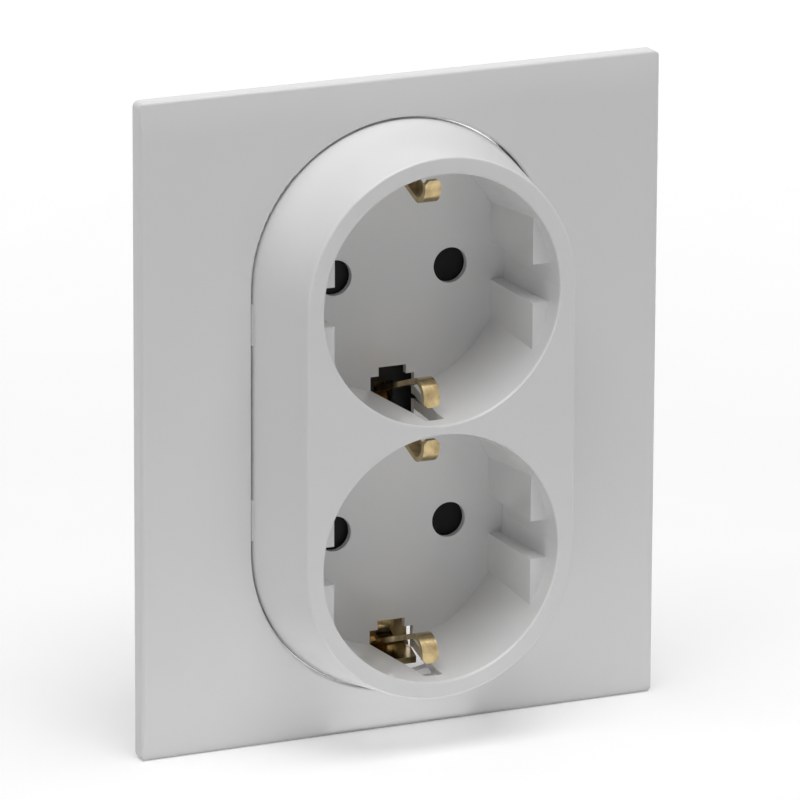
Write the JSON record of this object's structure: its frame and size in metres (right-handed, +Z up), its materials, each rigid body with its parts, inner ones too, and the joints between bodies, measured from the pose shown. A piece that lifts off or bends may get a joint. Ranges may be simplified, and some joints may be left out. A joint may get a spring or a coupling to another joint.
{
  "type": "double wall socket outlet",
  "caption": "Flush wall socket outlet: a rectangular cover plate around an oval boss with round plug wells, one above the other, with pin holes and sprung brass earth clips.",
  "frame": {"origin": "middle of the device screw pattern, on the wall plane", "axes": "+X right as seen from the room, +Y into the wall, +Z up; the wells open towards -Y"},
  "size_m": [0.085, 0.0477, 0.1016],
  "materials": {
    "white_gloss": "satin gloss",
    "black_plastic": "matt",
    "shutter_plastic": "satin",
    "brass": "rolled strip",
    "zinc_steel": "zinc plated",
    "screw_steel": "zinc plated",
    "spring_steel": "bright"
  },
  "bodies": {
    "socket": {"cover_plate": "white_gloss", "socket_cover": "white_gloss", "support_frame": "zinc_steel", "contact_base": "black_plastic", "rear_cover": "black_plastic", "earth_strap": "brass", "centre_earth_clip": "brass", "earth_terminal": "brass", "earth_rivets": "brass", "line_rail": "brass", "neutral_rail": "brass", "line_clamp": "zinc_steel", "neutral_clamp": "zinc_steel", "earth_clamp": "zinc_steel", "terminal_screws": "screw_steel", "rear_cover_screws": "screw_steel", "frame_rivets": "screw_steel", "upper_shutter_spring": "spring_steel", "lower_shutter_spring": "spring_steel"},
    "upper_shutter": {"upper_shutter": "shutter_plastic"},
    "lower_shutter": {"lower_shutter": "shutter_plastic"}
  },
  "joints": [
    {"name": "upper_shutter_turn", "type": "hinge", "parent": "socket", "child": "upper_shutter", "pos_m": [0, -0.0036, 0.02], "axis": [0, -1, 0], "range_deg": [0, 40], "stiffness_Nm_per_rad": 0.004, "springref_deg": -11.46, "deforming": ["upper_shutter_spring"]},
    {"name": "lower_shutter_turn", "type": "hinge", "parent": "socket", "child": "lower_shutter", "pos_m": [0, -0.0036, -0.02], "axis": [0, -1, 0], "range_deg": [0, 40], "stiffness_Nm_per_rad": 0.004, "springref_deg": -11.46, "deforming": ["lower_shutter_spring"]}
  ]
}
